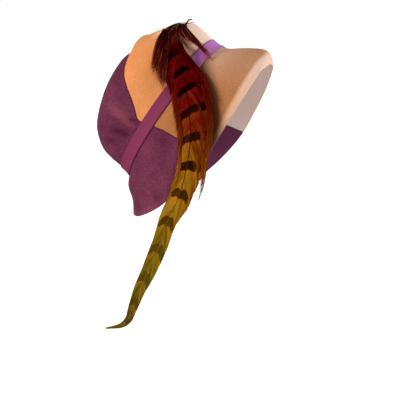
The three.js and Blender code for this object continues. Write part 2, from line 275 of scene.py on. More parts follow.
# Height of the rim by the turn from the front, 0, to the back, 180
rimRows = table(
    "turn z",
    (0, -62.5),
    (30, -66.5),
    (60, -73.5),
    (90, -78.5),
    (120, -68.5),
    (150, -48.5),
    (180, -33.5),
)
seamRows = table(
    "x z",
    (38, 110),
    (34, 84),
    (28, 76),
    (21.5, 71),
    (16.5, 64.5),
    (11.5, 52),
    (3, 37.5),
    (-6, 25),
    (-14.5, 15),
    (-13, 8),
    (-7, -7),
    (-2, -19),
    (1, -33),
    (6.5, -56),
    (11.5, -78),
    (16, -100),
)
seamValley = {"depth": 3.8, "sideDepth": 0.8, "width": 8, "from": 45, "to": 74}
tuckRows = table(
    "x z depth long across slant",
    (-42.5, 24, 2.8, 15, 4.2, -72),
    (-23.5, 29, -1.5, 22, 7, -87),
    (-18.5, 18, 2.6, 8, 2.4, -76),
    (-7, 43, 1.1, 9, 5.5, -60),
    (-66, 34, 1.6, 14, 6, -55),
)
heart = np.array(hat["heart"], float)
tiltTurn = math.radians(hat["tilt"])
hatFront = np.array([math.cos(tiltTurn), 0, math.sin(tiltTurn)])
hatSide = np.array([0.0, 1.0, 0.0])
hatUp = np.array([-math.sin(tiltTurn), 0, math.cos(tiltTurn)])
wornAxes = np.stack([hatFront, hatSide, hatUp])
bearing = hat["bearing"][0] * hatFront + hat["bearing"][2] * hatUp

# The seam as a dense line, for heights and for distances
seamSteps = np.linspace(0, 1, 241)
seamLine = np.stack([column(seamRows, "x", seamSteps), column(seamRows, "z", seamSteps)], -1)


def turnedAsWorn(vectors):
    return np.asarray(vectors, float) @ wornAxes


def asWorn(points):
    return turnedAsWorn(points) - bearing


def seamX(height):
    return np.interp(height, seamLine[::-1, 1], seamLine[::-1, 0])


# Distance from the seam as seen from the side, to every fourth point of its line
def seamDistance(points):
    flat = points[..., [0, 2]].reshape(-1, 2)
    nearest = np.full(len(flat), np.inf)
    for start, end in zip(seamLine[:-1:4], seamLine[4::4]):
        run = end - start
        along = np.clip(((flat - start) @ run) / (run @ run), 0, 1)
        foot = start + along[:, None] * run
        nearest = np.minimum(nearest, np.linalg.norm(flat - foot, axis=1))
    return nearest.reshape(points.shape[:-1])


def ovalPoint(rows, share, angle, height):
    back = column(rows, "back", share)
    front = column(rows, "front", share)
    side = column(rows, "side", share)
    x = (front + back) / 2 + (front - back) / 2 * np.cos(angle)
    return np.stack([x, side * np.sin(angle), height + 0 * x], -1)


# Dents fade out towards the ribbon
def aboveRibbon(points):
    return smoothstep(points[..., 2], hat["dentsFrom"], hat["dentsFull"])


# Depth of the soft folds at the back of the crown, below zero where one stands up
def tuckDepth(points):
    dent = 0 * points[..., 0]
    for tuck in tuckRows:
        slant = math.radians(tuck["slant"])
        dx = points[..., 0] - tuck["x"]
        dz = points[..., 2] - tuck["z"]
        along = (dx * math.cos(slant) + dz * math.sin(slant)) / tuck["long"]
        across = (dz * math.cos(slant) - dx * math.sin(slant)) / tuck["across"]
        dent = dent + tuck["depth"] * np.exp(-(along**2) - across**2)
    return dent * aboveRibbon(points)


def crownDent(points):
    v = seamValley
    high = smoothstep(points[..., 2], v["from"], v["to"])
    depth = v["sideDepth"] + (v["depth"] - v["sideDepth"]) * high
    valley = depth * np.exp(-((seamDistance(points) / v["width"]) ** 2))
    return tuckDepth(points) + valley * aboveRibbon(points)


def crownPoint(share, angle):
    points = ovalPoint(crownRows, share, angle, column(crownRows, "z", share))
    inward = unit(heart - points)
    return points + inward * crownDent(points)[..., None]


def rimHeight(angle):
    turn = np.arccos(np.clip(np.cos(angle), -1, 1)) / math.pi
    mirrored = [rimRows[1], *rimRows, rimRows[-2]]
    return column(mirrored, "z", (1 + turn * (len(rimRows) - 1)) / (len(mirrored) - 1))


def brimPoint(share, angle):
    top = hat["jointHeight"] - hat["jointGap"]
    height = top + (rimHeight(angle) - top) * column(brimRows, "drop", share)
    return ovalPoint(brimRows, share, angle, height)


# The brim's edge rolls right under at the front, and elsewhere bends as the solid does
roll = {"from": 0.62, "turn": 96, "wide": 0.12}
roll["lean"] = 0.05  # millimetres inwards, so that a straight stretch has a side to bend to
fineStep = 1e-3  # share or angle between the points that give a slope


def brimFelt(share, angle):
    share = np.asarray(share, float) + 0 * np.asarray(angle, float)
    angle = np.asarray(angle, float) + 0 * share
    start = np.full_like(share, roll["from"])
    foot = brimPoint(start, angle)
    down = unit(brimPoint(start + fineStep, angle) - brimPoint(start - fineStep, angle))
    chord = brimPoint(np.ones_like(share), angle) - foot
    straight = np.sum(chord * down, -1)
    inward = chord - straight[..., None] * down
    inward = inward - roll["lean"] * normalOf(brimPoint, start, angle)
    lean = np.arctan2(np.linalg.norm(inward, axis=-1), straight)
    full = smoothstep(np.cos(angle), 1 - roll["wide"], 1)
    turn = 2 * lean + (math.radians(roll["turn"]) - 2 * lean) * full
    radius = straight / np.sin(np.minimum(turn, math.pi / 2))
    part = turn * np.clip((share - roll["from"]) / (1 - roll["from"]), 0, 1)
    bent = foot + (radius * np.sin(part))[..., None] * down
    bent = bent + (radius * (1 - np.cos(part)))[..., None] * unit(inward)
    return np.where((share < roll["from"])[..., None], brimPoint(share, angle), bent)


def normalOf(surface, share, angle):
    inner = np.clip(share, fineStep, 1 - 2 * fineStep) + 0 * angle
    around = surface(inner, angle + fineStep) - surface(inner, angle - fineStep)
    up = surface(inner + fineStep, angle) - surface(inner - fineStep, angle)
    normal = unit(np.cross(around, up))
    facing = normal * (surface(inner, angle) - heart)
    if surface is brimFelt:
        # the rolled edge may face the heart, so each row takes the side of its first point
        facing = facing[..., :1, :]
    return normal * np.sign(np.sum(facing, -1, keepdims=True))


def shareAt(rows, name, value):
    shares = np.linspace(0, 1, 2001)
    return np.interp(value, column(rows, name, shares), shares)


# A smooth curve through points, evenly timed by the square root of their distances
def throughPoints(points, times, steps):
    points = np.asarray(points, float)
    gaps = np.linalg.norm(np.diff(times, axis=0), axis=1) ** 0.5
    found = []
    last = len(points) - 1
    for k in range(last):
        p1, p2 = points[k], points[k + 1]
        p0 = points[k - 1] if k > 0 else 2 * p1 - p2
        p3 = points[k + 2] if k + 2 <= last else 2 * p2 - p1
        d0 = gaps[k - 1] if k > 0 else gaps[k]
        d1 = gaps[k]
        d2 = gaps[k + 1] if k + 1 < last else gaps[k]
        m1 = ((p1 - p0) / d0 - (p2 - p0) / (d0 + d1) + (p2 - p1) / d1) * d1
        m2 = ((p2 - p1) / d1 - (p3 - p1) / (d1 + d2) + (p3 - p2) / d2) * d1
        f = np.linspace(0, 1, steps, endpoint=k == last - 1)[:, None]
        cube = 2 * p1 - 2 * p2 + m1 + m2
        square = -3 * p1 + 3 * p2 - 2 * m1 - m2
        found.append(p1 + f * (m1 + f * (square + f * cube)))
    return np.concatenate(found)


# The plume's shaft over the felt and then hanging free, as in the solids
plumeOverHat = table(
    "on share angle stand",
    ("crown", 0.385, -21, 2.2),
    ("crown", 0.345, -30, 3.2),
    ("crown", 0.266, -43.5, 5.2),
    ("crown", 0.144, -53.5, 7),
    ("brim", 0.225, -66.5, 6),
    ("brim", 0.354, -73.5, 5.5),
    ("brim", 0.476, -79.5, 5),
    ("brim", 0.603, -85.5, 5),
    ("brim", 0.753, -91.2, 5),
)
plumeHanging = table(
    "x y z turn",
    (105, -102, -139, 0),
    (94, -100, -169, 2),
    (79, -96, -210, 4),
    (62, -93, -241, 6),
    (46, -91, -268, 8),
    (33, -89, -299, 10),
    (28, -88, -312, 12),
    (18, -87, -322, 14),
    (-5, -85, -330, 16),
)
tailWidths = table(
    "front hind",
    (2.5, 2.5),
    (12, 12),
    (15, 16.5),
    (15.2, 16),
    (15.8, 12.5),
    (14.5, 11.5),
    (9.5, 10.5),
    (9.5, 9.5),
    (7.6, 7.6),
    (4.8, 4.8),
    (0.6, 0.6),
)
# Shares of the way along the plume, with how far all of it and then its longest feather bow
swayRows = table(
    "at all long",
    (0, 0, 0),
    (0.03, -3, 0),
    (0.05, -7, 0),
    (0.065, -8.5, -1),
    (0.09, -6, -3),
    (0.12, -1, -3.5),
    (0.15, 2.5, -2.5),
    (0.18, 6, -3.5),
    (0.21, 6, -4),
    (0.24, 4.8, -4.5),
    (0.27, 4.5, -5.5),
    (0.3, 3.3, -5.6),
    (0.34, 0.4, -3.3),
    (0.375, 0, -3.4),
    (0.41, 1.5, -4.8),
    (0.45, 2, -4.8),
    (0.485, 1.4, -5),
    (0.505, -0.5, -2.5),
    (0.535, -4.5, 0.5),
    (0.58, -6.3, 0),
    (0.62, -6, 0),
    (0.67, -5.4, 0),
    (0.7, -4.4, 0),
    (0.74, -2.5, 0),
    (0.78, -0.8, 0),
    (0.85, 0, 0),
)
sway = {name: np.array([row[name] for row in swayRows]) for name in ("at", "all", "long")}
routeSteps = {"between": 40, "along": 900}


# A place over the felt, as worn, and the way the felt faces there
def placeOver(surface, share, degrees, stand):
    share = np.atleast_1d(np.asarray(share, float))
    angle = np.radians(np.atleast_1d(np.asarray(degrees, float)))
    out = normalOf(surface, share, angle)
    point = surface(share, angle) + out * np.atleast_1d(stand)[:, None]
    return asWorn(point), turnedAsWorn(out)


class Route:
    def __init__(self):
        points = []
        outs = []
        for row in plumeOverHat:
            surface = crownPoint if row["on"] == "crown" else brimPoint
            point, out = placeOver(surface, row["share"], row["angle"], row["stand"])
            points.append(point[0])
            outs.append(out[0])
        for row in plumeHanging:
            turn = math.radians(row["turn"])
            points.append(np.array([row["x"], row["y"], row["z"]], float))
            outs.append(np.array([-math.sin(turn), -math.cos(turn), 0]))
        points = np.array(points)
        outs = np.array(outs)
        line = throughPoints(points, points, routeSteps["between"])
        faces = throughPoints(outs, points, routeSteps["between"])
        lengths = np.linalg.norm(np.diff(line, axis=0), axis=1)
        travelled = np.concatenate([[0], np.cumsum(lengths)])
        self.length = travelled[-1]
        self.at = np.linspace(0, self.length, routeSteps["along"])
        self.points = self.sampled(travelled, line, self.at)
        face = self.sampled(travelled, faces, self.at)
        tangent = unit(np.gradient(self.points, axis=0))
        face = unit(face - np.sum(face * tangent, -1, keepdims=True) * tangent)
        self.tangent = tangent
        self.out = face
        self.across = unit(np.cross(face, tangent))

    def sampled(self, known, values, wanted):
        return np.stack([np.interp(wanted, known, values[:, k]) for k in range(3)], -1)

    # Points at distances from the head, moved sideways and outwards
    def spot(self, distance, sideways, height):
        shape = np.shape(distance)
        flat = np.ravel(distance)
        centre = self.sampled(self.at, self.points, flat)
        across = self.sampled(self.at, self.across, flat)
        out = self.sampled(self.at, self.out, flat)
        past = np.clip(flat - self.length, 0, None)[:, None]
        sideways = np.ravel(sideways) + np.interp(flat / self.length, sway["at"], sway["all"])
        found = centre + across * sideways[:, None] + out * np.ravel(height)[:, None]
        return (found + past * self.tangent[-1]).reshape(*shape, 3)


route = Route()
print("plume runs", round(route.length, 1), "mm")


# Painted shadow of the plume on the brim's felt, where the felt darkens beside it: how far off
# it on each side, and round it
plumeShade = {"front": (-42, -25), "hind": (-24, -14), "reach": (46, 60), "most": 0.8, "every": 6}


def plumePaintedShadow(points):
    flat = asWorn(points.reshape(-1, 3))
    every = plumeShade["every"]
    nearest = np.full(len(flat), np.inf)
    side = np.zeros(len(flat))
    for point, across in zip(route.points[::every], route.across[::every]):
        away = flat - point
        far = np.linalg.norm(away, axis=1)
        side = np.where(far < nearest, away @ across, side)
        nearest = np.minimum(nearest, far)
    dark = smoothstep(-side, *plumeShade["front"]) * smoothstep(side, *plumeShade["hind"])
    dark = dark * (1 - smoothstep(nearest, *plumeShade["reach"]))
    return (plumeShade["most"] * dark).reshape(points.shape[:-1])


# Faces whose four corners are in four arrays of point numbers
def quadsOf(*corners):
    return np.stack(corners, -1).reshape(-1, 4)


# Several pairs of points and faces as one pair
def merged(parts):
    starts = np.cumsum([0, *(len(points) for points, faces in parts)])
    points = np.concatenate([points for points, faces in parts])
    faces = np.concatenate([faces + start for (points, faces), start in zip(parts, starts)])
    return points, faces


# A mesh object in the hat's place: points in millimetres, faces as rows of corners
def addPiece(name, points, faces, finish, nodes, readings):
    mesh = bpy.data.meshes.new(name)
    mesh.from_pydata((points / 1000).tolist(), [], faces.tolist())
    for label, values in readings.items():
        layer = mesh.attributes.new(label, "FLOAT", "POINT")
        layer.data.foreach_set("value", np.ravel(values).astype(np.float32))
    mesh.materials.append(finish.material)
    mesh.polygons.foreach_set("use_smooth", np.ones(len(mesh.polygons), bool))
    made = linked(name, mesh)
    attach(made, "root")
    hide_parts(*nodes)
    return made


# Felt: two colours of one soft, brushed wool. A paler, pinker colour is painted light where
# light falls: along the rim, on the brim beside the ribbon in front, at the front of the crown
# and on the ridges of the folds. A value of 2 marks the inside, painted paler still as if lit.
# A darker colour is painted shade: in the folds, and the plume's shadow on the brim.
def feltFinish(name, look):
    felt = Finish(name)
    place = felt.place()
    # from coarse to fine: clouds of tone, mottle, lying hairs and grain
    cloud = felt.noise(place, 30, 2.0)
    mottle = felt.noise(place, 420, 5.0, 0.65)
    hair = felt.noise(felt.stretched((1500, 900, 900)), 1.0, 4.0, 0.7)
    grain = felt.noise(place, 1900, 2.0, 0.6)
    tone = 0.5 + (cloud - 0.5) * look["cloud"] + (mottle - 0.5) * look["mottle"]
    tone = tone + (hair - 0.5) * look["hair"]
    colour = felt.ramp(tone, [(0.2, look["deep"]), (0.5, look["main"]), (0.8, look["pale"])])
    blush = felt.ramp(tone, [(0.2, look["paintedLightDeep"]), (0.8, look["paintedLightPale"])])
    # painted light: paler and pinker where light falls, and paler still on the inside
    colour = felt.mix(felt.reading("blush"), colour, blush)
    colour = felt.mix(felt.step(felt.reading("blush"), 1.2, 1.8), colour, look["inside"])
    # painted shade: the plume's shadow on the brim and shade in the folds
    colour = felt.mix(felt.reading("rub"), colour, look["rub"])
    worn = felt.mix(felt.reading("edge") * look["edgeShare"], colour, look["edge"])
    felt.set(Base_Color=worn, Roughness=0.94 - 0.1 * (hair - 0.5))
    felt.set(Sheen_Weight=look["sheen"], Sheen_Roughness=0.55, Sheen_Tint=look["pale"])
    felt.set(Specular_IOR_Level=0.12)
    felt.set(Normal=felt.bump(0.5 * hair + 0.3 * grain + 0.6 * mottle, look["relief"], 0.5))
    return felt


crownPeach = {
    "main": paint(228, 153, 96),
    "pale": paint(233, 167, 113),
    "deep": paint(219, 140, 82),
    # colours of painted light, of the inside painted paler as if lit, and of painted shade
    "paintedLightDeep": paint(246, 202, 178),
    "paintedLightPale": paint(255, 222, 202),
    "inside": paint(255, 234, 222),
    "rub": paint(78, 40, 16),
    "edge": paint(150, 74, 52),
    "edgeShare": 0.5,
    "cloud": 0.5,
    "mottle": 0.9,
    "hair": 0.8,
    "sheen": 0.06,
    "relief": 0.0004,
}
# brim: the crown's peach painted darker and browner, as painted shade over the brim
shadedBrimPeach = {
    **crownPeach,
    "main": paint(177, 118, 73),
    "pale": paint(190, 133, 90),
    "deep": paint(162, 102, 58),
}
purpleLook = {
    "main": paint(102, 46, 74),
    "pale": paint(119, 60, 87),
    "deep": paint(86, 33, 62),
    # colours of painted light, of the inside painted paler as if lit, and of painted shade
    "paintedLightDeep": paint(122, 56, 80),
    "paintedLightPale": paint(150, 80, 104),
    "inside": paint(112, 56, 90),
    "rub": paint(64, 18, 58),
    "edge": paint(58, 20, 40),
    "edgeShare": 0.7,
    "cloud": 1.0,
    "mottle": 1.1,
    "hair": 1.0,
    "sheen": 0.06,
    "relief": 0.0005,
}
crownPeachFelt = feltFinish("crown_peach_felt", crownPeach)
shadedBrimPeachFelt = feltFinish("brim_peach_felt_painted_shade", shadedBrimPeach)
purpleFelt = feltFinish("purple_felt", purpleLook)

# How finely the felt is laid out, and how its edges are rounded
feltMesh = {
    "crownRows": 110,
    "crowding": 1.5,  # how closely the rows stand where the seam runs over the crown
    "topRows": 36,
    "brimRows": 64,
    "columns": 150,
    "seamShares": [0.0, 0.0015, 0.0035, 0.006, 0.009],
    "restFrom": 0.012,
    "restWide": 0.976,
    "seamGap": 0.02,
    "seamTopFrom": 0.3,
    "halvings": 40,
    "closed": 1e-6,
    "edgeRound": 0.9,
    "edgeDark": 0.9,
    "rimRound": 6,
    "ripple": 0.35,
    "rippleLevel": 1.4,  # height at which the felt stays level
    "rippleOff": (9, 24),  # distances from it at which the waves start and are full
}
# Where painted light and painted shade go on the felt: cosines of the angle from the front,
# heights, shares of the brim and depths of the folds, each as where it starts and where it is full
feltPaintedLightShade = {
    "crownFront": (0.72, 0.93),
    "crownHigh": (56, 72),
    "ridge": (0.1, 1.4),
    "ridgePaintedHighlight": 0.6,
    "fold": (0.4, 2.4),
    "foldPaintedShade": 0.65,
    "brimFront": (0.15, 0.95),
    "rimStart": 0.8,
    "rimStartFront": 0.16,
    "rimWide": 0.17,
    "rimPaintedLight": 0.35,
    "rimPaintedLightFront": 0.5,
    "band": (0.45, 0.9),
    "bandReach": (0, 0.55),
    "bandFade": 0.6,
    "bandPaintedLight": 0.45,
}


# Slow waves in the felt, as hand-steamed felt has, level beside the ribbon. They are 50 to
# 200 millimetres long and cross each other.
def ripple(points):
    x = points[..., 0]
    y = points[..., 1]
    z = points[..., 2]
    wave = np.sin(0.071 * x + 0.043 * z + 1.3) * np.sin(0.083 * y - 0.031 * x)
    wave = wave + 0.6 * np.sin(0.13 * z + 0.06 * x) * np.cos(0.11 * y + 0.7)
    off = smoothstep(np.abs(z - feltMesh["rippleLevel"]), *feltMesh["rippleOff"])
    return feltMesh["ripple"] * wave * off


# Shares of the way across a felt piece, closer together beside the seam
def columnShares():
    ends = np.array(feltMesh["seamShares"])
    middle = feltMesh["restFrom"] + feltMesh["restWide"] * np.linspace(0, 1, feltMesh["columns"])
    return np.concatenate([ends, middle, 1 - ends[::-1]])


# Halves the span from low to high again and again, down to where isBefore ends
def halved(low, high, isBefore):
    for _ in range(feltMesh["halvings"]):
        middle = (low + high) / 2
        before = isBefore(middle)
        low = np.where(before, middle, low)
        high = np.where(before, high, middle)
    return (low + high) / 2


# Angle at which the seam crosses each row, moved by half the gap
def seamAngles(surface, shares, shift):
    def isBefore(angles):
        points = surface(shares, angles)
        return points[:, 0] >= seamX(points[:, 2]) + shift

    return halved(np.zeros(len(shares)), np.full(len(shares), math.pi), isBefore)


# Share of the crown's height at which the seam meets the front of the crown
def crownSeamTop(shift):
    def isBefore(share):
        point = crownPoint(np.array([share]), np.zeros(1))[0]
        return point[0] > seamX(point[2]) + shift

    return halved(feltMesh["seamTopFrom"], 1.0, isBefore)


# Shares down a felt piece, the angle of the seam at each, and which of them it cuts
def feltRows(surface, isFront, isCrown):
    half = feltMesh["seamGap"] / 2
    shift = half if isFront else -half
    if not isCrown:
        shares = np.linspace(0, 1, feltMesh["brimRows"])
        return shares, seamAngles(surface, shares, shift), shares <= 1
    top = crownSeamTop(shift)
    below = np.linspace(0, 1, feltMesh["crownRows"])
    shares = top * (1 - (1 - below) ** feltMesh["crowding"])
    if not isFront:
        above = np.linspace(top, 1, feltMesh["topRows"])[1:]
        shares = np.concatenate([shares, above])
    limit = seamAngles(surface, shares, shift)
    limit[shares >= top] = 0.0
    return shares, limit, shares <= top


# Painted light and painted shade on the crown: light on its front and on the ridges of its
# folds, shade in its folds
def crownPaintedLightShade(points, angle, isFront):
    paintedLightShade = feltPaintedLightShade
    tucked = tuckDepth(points)
    front = smoothstep(np.cos(angle), *paintedLightShade["crownFront"]) if isFront else 0
    blush = front * (1 - smoothstep(points[..., 2], *paintedLightShade["crownHigh"]))
    # a painted highlight where a fold stands up
    blush = blush + paintedLightShade["ridgePaintedHighlight"] * smoothstep(-tucked, *paintedLightShade["ridge"])
    # painted shade in the folds
    return blush, paintedLightShade["foldPaintedShade"] * smoothstep(tucked, *paintedLightShade["fold"])


# Painted light and painted shade on the brim: light along its rim and beside the ribbon in
# front, and the plume's painted shadow beside the plume
def brimPaintedLightShade(points, share, angle):
    paintedLightShade = feltPaintedLightShade
    front = smoothstep(np.cos(angle), *paintedLightShade["brimFront"])
    low = paintedLightShade["rimStart"] - paintedLightShade["rimStartFront"] * front
    blush = paintedLightShade["rimPaintedLight"] + paintedLightShade["rimPaintedLightFront"] * front
    blush = blush * smoothstep(share, low, low + paintedLightShade["rimWide"])
    fade = 1 - paintedLightShade["bandFade"] * smoothstep(share, *paintedLightShade["bandReach"])
    near = smoothstep(np.cos(angle), *paintedLightShade["band"]) * fade
    return np.maximum(blush, paintedLightShade["bandPaintedLight"] * near), plumePaintedShadow(points)


# The rim turns over in a half circle
def rimLayers(outer, inner):
    middle = (outer[-1] + inner[-1]) / 2
    lean = unit(outer[-1] - outer[-2])
    reach = np.linalg.norm(outer[-1] - inner[-1], axis=-1, keepdims=True) / 2
    out = unit(outer[-1] - inner[-1])
    turns = np.linspace(0, math.pi, feltMesh["rimRound"] + 2)[1:-1]
    return [middle + reach * (out * math.cos(turn) + lean * math.sin(turn)) for turn in turns]


# One felt piece: an outer and an inner face, rounded along the seam and the rim
def feltPiece(name, isFront, isCrown, finish):
    surface = crownPoint if isCrown else brimFelt
    shares, limit, isCut = feltRows(surface, isFront, isCrown)
    start = -limit if isFront else limit
    end = limit if isFront else 2 * math.pi - limit
    angle = start[:, None] + (end - start)[:, None] * columnShares()[None, :]
    share = shares[:, None] + 0 * angle
    points = surface(share, angle)
    normals = normalOf(surface, share, angle)
    points = points + normals * ripple(points)[..., None]
    # painted light and painted shade on the felt
    if isCrown:
        blush, rub = crownPaintedLightShade(points, angle, isFront)
    else:
        blush, rub = brimPaintedLightShade(points, share, angle)
    # distance from the seam along each row
    lengths = np.linalg.norm(np.diff(points, axis=1), axis=-1)
    fromStart = np.concatenate([np.zeros((len(shares), 1)), np.cumsum(lengths, 1)], 1)
    nearSeam = np.minimum(fromStart, fromStart[:, -1:] - fromStart)
    nearSeam = np.where(isCut[:, None], nearSeam, np.inf)
    edgeRound = feltMesh["edgeRound"]
    bend = np.clip(edgeRound - nearSeam, 0, None)
    sunk = edgeRound - np.sqrt(np.clip(edgeRound**2 - bend**2, 0, None))
    outer = points - normals * sunk[..., None]
    inner = points - normals * (hat["thickness"] - sunk)[..., None]
    rim = [] if isCrown else rimLayers(outer, inner)
    layers = np.array([*outer, *rim, *inner[::-1]])
    # readings on the outer face, round the rim and on the inner face
    edge = np.exp(-((nearSeam / feltMesh["edgeDark"]) ** 2))
    overRim = np.ones((len(rim), 1))
    readings = {
        "edge": np.concatenate([edge, 0 * overRim * edge[-1], edge[::-1]]),
        # painted light, with 2 on the inner face painting it paler
        "blush": np.concatenate([blush, overRim * blush[-1], 2 + 0 * blush]),
        # painted shade
        "rub": np.concatenate([rub, overRim * rub[-1], 0 * rub]),
    }
    rings, columns = layers.shape[:2]
    index = np.arange(rings * columns).reshape(rings, columns)
    # the faces of the felt, then the foot of its wall, under the ribbon
    quads = [
        quadsOf(index[:-1, :-1], index[:-1, 1:], index[1:, 1:], index[1:, :-1]),
        quadsOf(index[-1, :-1], index[-1, 1:], index[0, 1:], index[0, :-1]),
    ]
    # walls that face the other colour, then the ends of the rounded rim
    walls = [np.flatnonzero(limit[:-1] > feltMesh["closed"])]
    if not isCrown:
        walls.append(len(shares) - 1 + np.arange(1 + feltMesh["rimRound"] // 2))
    for rows in walls:
        across = rings - 1 - rows
        for side in (0, columns - 1):
            line = index[:, side]
            quads.append(quadsOf(line[rows], line[rows + 1], line[across - 1], line[across]))
    nodes = [name.removesuffix("_felt")]
    worn = asWorn(layers.reshape(-1, 3))
    tidyMesh(addPiece(name, worn, np.concatenate(quads), finish, nodes, readings))


# Welds doubled points, drops slivers and turns every face outwards
def tidyMesh(piece, weld=1.2e-5, sliver=1e-6):
    work = bmesh.new()
    work.from_mesh(piece.data)
    bmesh.ops.remove_doubles(work, verts=work.verts, dist=weld)
    bmesh.ops.dissolve_degenerate(work, edges=work.edges, dist=sliver)
    bmesh.ops.recalc_face_normals(work, faces=work.faces)
    work.to_mesh(piece.data)
    work.free()


feltPiece("crown_front_felt", True, True, crownPeachFelt)
feltPiece("crown_back_felt", False, True, purpleFelt)
feltPiece("brim_front_felt", True, False, shadedBrimPeachFelt)
feltPiece("brim_back_felt", False, False, purpleFelt)
print("felt made")


# Ribbon: a grosgrain band with fine ribs across its width
ribbonLook = {
    "main": paint(130, 48, 90),
    "deep": paint(100, 32, 66),
    "pale": paint(146, 64, 108),
    # the front of the band is painted a paler violet, as painted light from the front
    "paintedLitViolet": paint(196, 124, 198),
    "width": 15.9,
    "stand": 0.45,
    "thickness": 0.9,
    "ribs": 520,
    "ribColumns": 3,
    "ribDepth": 0.11,
    "rows": 9,
    "selvedge": 0.05,
    "selvedgeDepth": 0.12,
    "waver": 0.1,
    "wavers": 9,
    "front": (0.55, 0.95),
}


def ribbonFinish():
    silk = Finish("grosgrain")
    ribs = silk.reading("rib")
    edge = silk.reading("edge")
    fine = silk.noise(silk.place(), 700, 3.0)
    tone = 0.5 + (fine - 0.5) * 0.5 + (ribs - 0.5) * 0.3
    tones = [(0.2, ribbonLook["deep"]), (0.5, ribbonLook["main"]), (0.85, ribbonLook["pale"])]
    colour = silk.ramp(tone, tones)
    # painted light: the front of the band paler violet
    colour = silk.mix(silk.reading("front") * 0.85, colour, ribbonLook["paintedLitViolet"])
    silk.set(Base_Color=silk.mix(edge * 0.35, colour, ribbonLook["deep"]))
    silk.set(Roughness=0.65, Specular_IOR_Level=0.12)
    silk.set(Sheen_Weight=0.08, Sheen_Roughness=0.4, Sheen_Tint=ribbonLook["pale"])
    silk.set(Normal=silk.bump(fine, 0.0002, 0.5))
    return silk


def ribbonPiece():
    look = ribbonLook
    columns = look["ribs"] * look["ribColumns"]
    angle = np.linspace(0, 2 * math.pi, columns, endpoint=False)
    heights = hat["jointHeight"] + look["width"] * np.linspace(0, 1, look["rows"])
    shares = shareAt(crownRows, "z", heights)
    share = shares[:, None] + 0 * angle[None, :]
    turns = angle[None, :] + 0 * share
    base = crownPoint(share, turns)
    normals = normalOf(crownPoint, share, turns)
    rib = 0.5 + 0.5 * np.cos(angle * look["ribs"])[None, :] + 0 * share
    across = np.linspace(0, 1, look["rows"])[:, None] + 0 * turns
    selvedge = np.exp(-((np.minimum(across, 1 - across) / look["selvedge"]) ** 2))
    waver = look["waver"] * np.sin(turns * look["wavers"] + 5 * across)
    stand = look["stand"] + look["thickness"] + look["ribDepth"] * (rib - 0.5)
    stand = stand + waver * (1 - selvedge) - look["selvedgeDepth"] * selvedge
    outer = base + normals * stand[..., None]
    inner = base + normals * look["stand"]
    layers = np.concatenate([outer, inner[::-1]])
    # where the front of the band is painted lit
    front = smoothstep(np.cos(turns), *look["front"])
    readings = {"rib": rib, "edge": selvedge, "front": front}
    readings = {name: np.concatenate([known, known[::-1]]) for name, known in readings.items()}
    index = np.arange(len(layers) * columns).reshape(-1, columns)
    after = np.roll(index, -1, axis=1)
    faces = quadsOf(index, after, np.roll(after, -1, axis=0), np.roll(index, -1, axis=0))
    worn = asWorn(layers.reshape(-1, 3))
    finish = ribbonFinish()
    made = addPiece("ribbon_grosgrain", worn, faces, finish, ["ribbon_band"], readings)
    tidyMesh(made)


ribbonPiece()
print("ribbon made")


# Many thin tubes at once: paths, half-widths and outward directions for every point
def tubes(paths, halves, outs, sides=3, flatness=1.0, turned=0.3):
    paths = np.asarray(paths, float)
    tangent = unit(np.gradient(paths, axis=1))
    across = unit(np.cross(outs, tangent))
    up = np.cross(tangent, across)
    turns = 2 * math.pi * np.arange(sides) / sides + turned
    ring = (
        across[:, :, None, :] * np.cos(turns)[None, None, :, None]
        + up[:, :, None, :] * (np.sin(turns) * flatness)[None, None, :, None]
    )
    points = paths[:, :, None, :] + ring * np.asarray(halves)[:, :, None, None]
    index = np.arange(points[..., 0].size).reshape(points.shape[:3])
    after = np.roll(index, -1, axis=2)
    faces = quadsOf(index[:, :-1], after[:, :-1], after[:, 1:], index[:, 1:])
    return points.reshape(-1, 3), faces


# A reading for each place along some strands, given to all the points across them
def acrossAll(values, along, many):
    return np.repeat((values + 0 * along)[..., None], many, -1).ravel()


# Tail feathers: a shaft with a vane of real barbs on each side
tail = {
    "pitch": 0.62,
    "barb": 0.46,
    "tilt": 0.09,
    "steps": 8,
    "rise": 0.55,
    "droop": 1.4,
    "droopAt": 20,
    "clumpEnds": 0.1,  # chance that a clump of barbs ends at any one of them
    "lean": 1.6,
    "tipLean": 1.6,
    "leans": (120, 240),  # distances along the plume at which these start and are full
    "loosens": (30, 90),
    "tightens": (110, 190),
    "smooths": (150, 210),
    "fans": (0.03, 0.17),
    "bars": [0.063, 0.101, 0.15, 0.205, 0.269, 0.338, 0.413, 0.492, 0.581, 0.67, 0.772, 0.853, 0.93],
    "pastBars": 99.5,  # half way between two bars, where no bar shows
    "shaft": 0.4,
    "shaftTip": 0.14,
    "shaftRise": 0.62,
    "shaftSteps": 120,
    "feathers": table(
        "length shift under half",
        (1.0, 0, 0, None),
        (0.5, 7.5, 0.9, 11),
        (0.44, 13.5, 1.7, 6.5),
        (0.39, -11, 0.9, 12),
        (0.33, -17, 1.7, 7),
    ),
}


# A feather without a half-width of its own is the long one, as wide as the plume's table
def halfWidth(row, share, side):
    share = np.clip(share, 0, 1)
    if row["half"] is None:
        return column(tailWidths, "front" if side > 0 else "hind", share)
    return row["half"] * np.minimum(0.15 + 4 * share, 1.02 - share**5)


# How far the middle of a feather lies to the front at distances along the plume
def middleOf(row, along):
    if row["half"] is None:
        return np.interp(along / route.length, sway["at"], sway["long"])
    first, last = tail["fans"]
    return row["shift"] * smoothstep(along, first * route.length, last * route.length)


